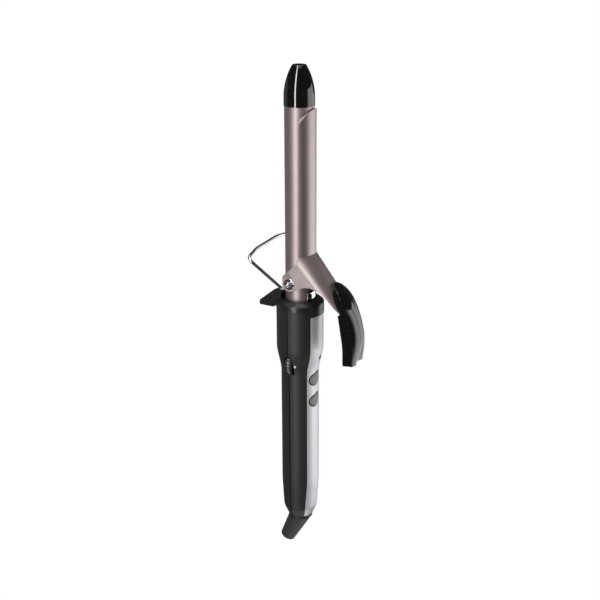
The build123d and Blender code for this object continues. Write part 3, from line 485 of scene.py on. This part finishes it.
def rounded_path(corners, bends, steps):
    """A polyline, each inner corner cut back by bend times tan(half the turn) and eased by a parabola."""
    ease = np.linspace(0.0, 1.0, steps)[:, None]
    runs = [corners[:1]]
    for before, here, after, bend in zip(corners[:-2], corners[1:-1], corners[2:], bends):
        come = (here - before) / np.linalg.norm(here - before)
        leave = (after - here) / np.linalg.norm(after - here)
        half_turn = 0.5 * math.acos(float(np.clip(come @ leave, -1.0, 1.0)))
        cut = bend * math.tan(half_turn)
        first = here - cut * come
        last = here + cut * leave
        runs.append((1 - ease) ** 2 * first + 2 * ease * (1 - ease) * here + ease**2 * last)
    runs.append(corners[-1:])
    return np.concatenate(runs)


def refine(path, spacing):
    """The same path with points at an even spacing along its length."""
    along = np.concatenate([[0.0], np.cumsum(np.linalg.norm(np.diff(path, axis=0), axis=1))])
    stations = np.linspace(0.0, along[-1], int(along[-1] / spacing) + 2)
    return np.stack([np.interp(stations, along, path[:, k]) for k in range(2)], axis=-1)


def skin(name, outer, inner):
    """Two grids of points of the same shape, closed into one skin by a border of quads."""
    rows, columns = outer.shape[:2]
    count = rows * columns
    corner = np.arange(count).reshape(rows, columns)
    rim = np.concatenate([corner[0, :-1], corner[:-1, -1], corner[-1, :0:-1], corner[:0:-1, 0]])
    ahead = np.roll(rim, -1)
    faces = grid_faces(rows, columns)
    border = np.stack([rim, rim + count, ahead + count, ahead], axis=-1)
    every_face = np.concatenate([faces[:, ::-1], faces + count, border])
    return surface(name, np.concatenate([outer.reshape(-1, 3), inner.reshape(-1, 3)]), every_face)


def leaf_strip():
    """A strip along the path, wrapped on the barrel's circle at the saddle, flat and narrower on the leaf.

    The half width eases from the saddle's to the leaf's over one stretch of height. The wrap angle is the
    distance across over the saddle's radius, and it eases to nothing over another stretch.
    """
    path = refine(rounded_path(LEAF_CORNERS, LEAF_BENDS, BEND_STEPS), PATH_STEP)
    run = np.gradient(path, axis=0)
    run /= np.linalg.norm(run, axis=1, keepdims=True)
    height = path[:, 1].copy()
    height[np.argmax(height) :] = height.max()
    narrow = smoothstep(height, *NARROWING)
    half = SADDLE_HALF + (LEAF_HALF - SADDLE_HALF) * narrow
    across = np.linspace(-1.0, 1.0, STRIP_COLUMNS) * half[:, None]
    wrap = across / SADDLE_R * (1.0 - smoothstep(height, *FLATTENING))[:, None]
    x = path[:, :1] + SADDLE_R * (np.cos(wrap) - 1.0)
    z = np.broadcast_to(path[:, 1:], across.shape)
    middle = np.stack([x, across, z], axis=-1)
    out_x = run[:, 1:] * np.cos(wrap)
    out_y = run[:, 1:] * np.sin(wrap)
    out_z = np.broadcast_to(-run[:, :1], across.shape)
    offset = 0.5 * SPRING_THICK * np.stack([out_x, out_y, out_z], axis=-1)
    return skin("bending_leaf", middle + offset, middle - offset)


leaf = leaf_strip()
leaf.data.shade_smooth()
leaf.data.set_sharp_from_angle(angle=SHARP_ANGLE)
leaf.data.materials.append(spring_steel)
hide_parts("leaf_spring")
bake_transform(leaf)
print("leaf spring:", len(leaf.data.vertices), "points")

# %% [markdown]
# ## Numbers on the dial and the mark beside it
# The thumbwheel carries printed numbers, which pass a small triangle on the handle. Print is a film with no
# thickness to speak of. It could be a pattern in the wheel's material, but real outlines stay sharp at any
# distance, so each number is a text outline turned into a mesh, and its height is wrapped round the rim.
# A sheet with one side would be an open mesh, so a film is closed: its seams and poles are welded, and it
# gets a back a few hundredths of a millimetre behind its front, and a border.

# %% Films
FILM_THICK = 0.00006
WELD = 1e-7


def close_film(piece):
    """Welds a sheet's seams and poles, and closes it into a thin solid with its front where it was."""
    work = bmesh.new()
    work.from_mesh(piece.data)
    bmesh.ops.remove_doubles(work, verts=work.verts, dist=WELD)
    bmesh.ops.solidify(work, geom=work.faces, thickness=FILM_THICK)
    bmesh.ops.recalc_face_normals(work, faces=work.faces)
    work.to_mesh(piece.data)
    work.free()
    return piece


# %% Dial numbers
DIAL_X = -0.0025
DIAL_Y = -0.005548
DIAL_Z = 0.0475
DIAL_R = 0.009
PRINT_LIFT = 0.00008
NUMBER_SIZE = 0.0027
NUMBER_COUNT = 10
NUMBER_STEP = math.radians(30.0)
DASH_HALF = (0.0007, 0.0002)


def flat_outline(text):
    """The points and faces of a text outline, centred on the origin, in metres."""
    letter = bpy.data.curves.new("outline", "FONT")
    letter.body = text
    letter.size = NUMBER_SIZE
    letter.align_x = "CENTER"
    letter.align_y = "CENTER"
    holder = bpy.data.objects.new("outline", letter)
    bpy.context.scene.collection.objects.link(holder)
    shape = bpy.data.meshes.new_from_object(holder.evaluated_get(bpy.context.evaluated_depsgraph_get()))
    flat = np.empty(3 * len(shape.vertices))
    shape.vertices.foreach_get("co", flat)
    faces = [list(face.vertices) for face in shape.polygons]
    bpy.data.objects.remove(holder)
    return flat.reshape(-1, 3)[:, :2], faces


def on_rim(flat, turn):
    """Wraps flat points round the wheel: the height becomes an angle, and the width stays along the axis."""
    angle = turn + flat[:, 1] / DIAL_R
    radius = DIAL_R + PRINT_LIFT
    x = DIAL_X + flat[:, 0]
    y = DIAL_Y - radius * np.cos(angle)
    z = DIAL_Z + radius * np.sin(angle)
    return np.stack([x, y, z], axis=-1)


def dial_print():
    """Ten numbers round the rim, with a short dash halfway to the next one."""
    dash = SQUARE * DASH_HALF
    points = []
    faces = []
    placed = 0
    for number in range(NUMBER_COUNT):
        turn = (number - (NUMBER_COUNT - 1) / 2) * NUMBER_STEP
        marks = [(flat_outline(str(number + 1)), turn)]
        if number < NUMBER_COUNT - 1:
            marks.append(((dash, [[0, 1, 2, 3]]), turn + NUMBER_STEP / 2))
        for (flat, outline), at in marks:
            points.append(on_rim(flat, at))
            faces += [[corner + placed for corner in face] for face in outline]
            placed += len(flat)
    mesh = bpy.data.meshes.new("dial_numbers")
    mesh.from_pydata(np.concatenate(points).tolist(), [], faces)
    piece = bpy.data.objects.new("dial_numbers", mesh)
    bpy.context.scene.collection.objects.link(piece)
    return piece


numbers = close_film(dial_print())
numbers.data.materials.append(white_print)
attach(numbers, "dial")
print("dial numbers:", len(numbers.data.polygons), "faces")

# %% [markdown]
# ## Painted shade: round the buttons, round the lamp, and along the handle's seam
# Each button moves in a hole, the lamp looks out of a small hole, and the two shells meet in a groove. The
# shade in those gaps is painted: a black film lies on the skin where it falls. Their outlines are what the
# eye uses to read those parts at a distance. All three are thin films on the handle's round skin, so each is
# worked out flat first and then laid on the skin: the depth follows from the skin's radius at that height.
# The mark beside the dial lies on the same skin, so it comes last here.

# %% The handle's skin
GRIP_R = 0.0127
HEAD_R = 0.01565
SKIN_CORNERS = np.array(
    [
        (0.0083, -0.0700),
        (0.0116, -0.0625),
        (GRIP_R, -0.0420),
        (GRIP_R, 0.0430),
        (HEAD_R, 0.0570),
        (HEAD_R, 0.0867),
    ]
)
SKIN_BENDS = (0.008, 0.150, 0.025, 0.025)
SKIN_LIFT = 0.00005

skin_line = rounded_path(SKIN_CORNERS, SKIN_BENDS, BEND_STEPS)
print("skin line:", len(skin_line), "points")


def skin_depth(aside, height):
    """How far out the skin lies beside its middle: the root of radius squared less aside squared."""
    radius = np.interp(height, skin_line[:, 1], skin_line[:, 0]) + SKIN_LIFT
    return np.sqrt(radius**2 - aside**2)


# %% Painted shade round the buttons
BUTTON_Y = -0.0028
BUTTON_HEIGHTS = {"on_button_shade": 0.0376, "off_button_shade": 0.0221}
BUTTON_LEAN = math.radians(36.0)
DROP_LENGTH = 0.0105
DROP_R = 0.0038
POINT_R = 0.0010
SHADE_INNER = 0.00005
SHADE_OUTER = 0.00070
POINT_STEPS = 17
ROUND_STEPS = 49


def button_shade_band(name, height):
    """A band of painted shade round a drop, which is two circles in one tight loop.

    A point of the outline is found by the direction it faces: within the upper fan it lies on the small
    circle, and elsewhere on the large one.
    """
    half_point = math.asin(DROP_R / (DROP_LENGTH - DROP_R))
    fan = math.pi / 2 - half_point
    upper = np.linspace(-fan, fan, POINT_STEPS)
    lower = np.linspace(fan, 2 * math.pi - fan, ROUND_STEPS)
    faces_to = np.concatenate([upper, lower])
    small = np.arange(len(faces_to)) < POINT_STEPS
    centre = np.where(small, DROP_LENGTH / 2 - POINT_R / math.sin(half_point), DROP_R - DROP_LENGTH / 2)
    around = np.append(faces_to, faces_to[0])[:, None]
    radius = np.append(np.where(small, POINT_R, DROP_R), POINT_R)[:, None]
    radius = radius + np.array([SHADE_INNER, SHADE_OUTER])
    across = radius * np.sin(around)
    along = np.append(centre, centre[0])[:, None] + radius * np.cos(around)
    y = BUTTON_Y + across * math.cos(BUTTON_LEAN) + along * math.sin(BUTTON_LEAN)
    z = height - across * math.sin(BUTTON_LEAN) + along * math.cos(BUTTON_LEAN)
    points = np.stack([skin_depth(y, z), y, z], axis=-1)
    return surface(name, points.reshape(-1, 3), grid_faces(*y.shape))


for shade_name, shade_height in BUTTON_HEIGHTS.items():
    # A black band of painted shade round each button, where the gap is in shade.
    button_shade = close_film(button_shade_band(shade_name, shade_height))
    button_shade.data.materials.append(painted_shade_black)
    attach(button_shade, "handle")
    print(shade_name, "has", len(button_shade.data.polygons), "faces")

# %% Painted shade round the lamp
LAMP_Z = 0.0515
RING_INNER = 0.0009
RING_OUTER = 0.0016
RING_STEPS = 33


def lamp_hole_shade():
    """A flat ring of painted shade round the lamp, angle on one axis and radius on the other, laid on the
    skin.
    """
    turn = np.linspace(0, 2 * math.pi, RING_STEPS)
    around, radius = np.meshgrid(turn, [RING_INNER, RING_OUTER], indexing="ij")
    y = radius * np.sin(around)
    z = LAMP_Z + radius * np.cos(around)
    points = np.stack([skin_depth(y, z), y, z], axis=-1)
    return surface("lamp_hole_shade", points.reshape(-1, 3), grid_faces(*y.shape))


# A black ring of painted shade round the lamp, where its hole is in shade.
ring = close_film(lamp_hole_shade())
ring.data.materials.append(painted_shade_black)
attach(ring, "handle")
print("lamp ring:", len(ring.data.polygons), "faces")

# %% Painted shadow along the seam
SEAM_X = -0.0025
SEAM_HALF = 0.00035
# Side, foot and top of each run
SEAM_RUNS = {
    "seam_upper": (-1.0, 0.0545, 0.0860),
    "seam_lower": (-1.0, -0.0690, 0.0405),
    "seam_far": (1.0, -0.0690, 0.0860),
}


def seam_shadow_strip(name, side, foot, top):
    """A narrow strip of painted shadow up the skin: height on one axis, a little to each side of the seam on
    the other.
    """
    height = skin_line[:, 1]
    height = np.concatenate([[foot], height[(height > foot) & (height < top)], [top]])
    x, z = np.meshgrid(SEAM_X + side * SEAM_HALF * np.array([-1.0, 1.0]), height)
    y = side * skin_depth(x, z)
    return surface(name, np.stack([x, y, z], axis=-1).reshape(-1, 3), grid_faces(*x.shape))


for seam_name, (seam_side, seam_foot, seam_top) in SEAM_RUNS.items():
    # Each run is a black strip of painted shadow in the groove between the shells.
    seam_shadow = close_film(seam_shadow_strip(seam_name, seam_side, seam_foot, seam_top))
    seam_shadow.data.materials.append(painted_shade_black)
    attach(seam_shadow, "handle")
print("seam strips:", ", ".join(SEAM_RUNS))

# %% Mark beside the dial
MARK_X = 0.0022
MARK_TOP = 0.0482
MARK_WIDTH = 0.0019
MARK_HEIGHT = 0.0021
MARK_ROWS = 7
MARK_COLUMNS = 5


def dial_mark():
    """A triangle that points down: its width shrinks evenly to nothing. It is laid on the skin."""
    rows = np.linspace(0.0, 1.0, MARK_ROWS)
    columns = np.linspace(-0.5, 0.5, MARK_COLUMNS)
    down, side = np.meshgrid(rows, columns, indexing="ij")
    x = MARK_X + side * MARK_WIDTH * (1.0 - down)
    z = MARK_TOP - down * MARK_HEIGHT
    points = np.stack([x, -skin_depth(x, z), z], axis=-1)
    return surface("dial_mark", points.reshape(-1, 3), grid_faces(*down.shape))


mark = close_film(dial_mark())
mark.data.materials.append(white_print)
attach(mark, "handle")
print("mark has", len(mark.data.polygons), "faces")
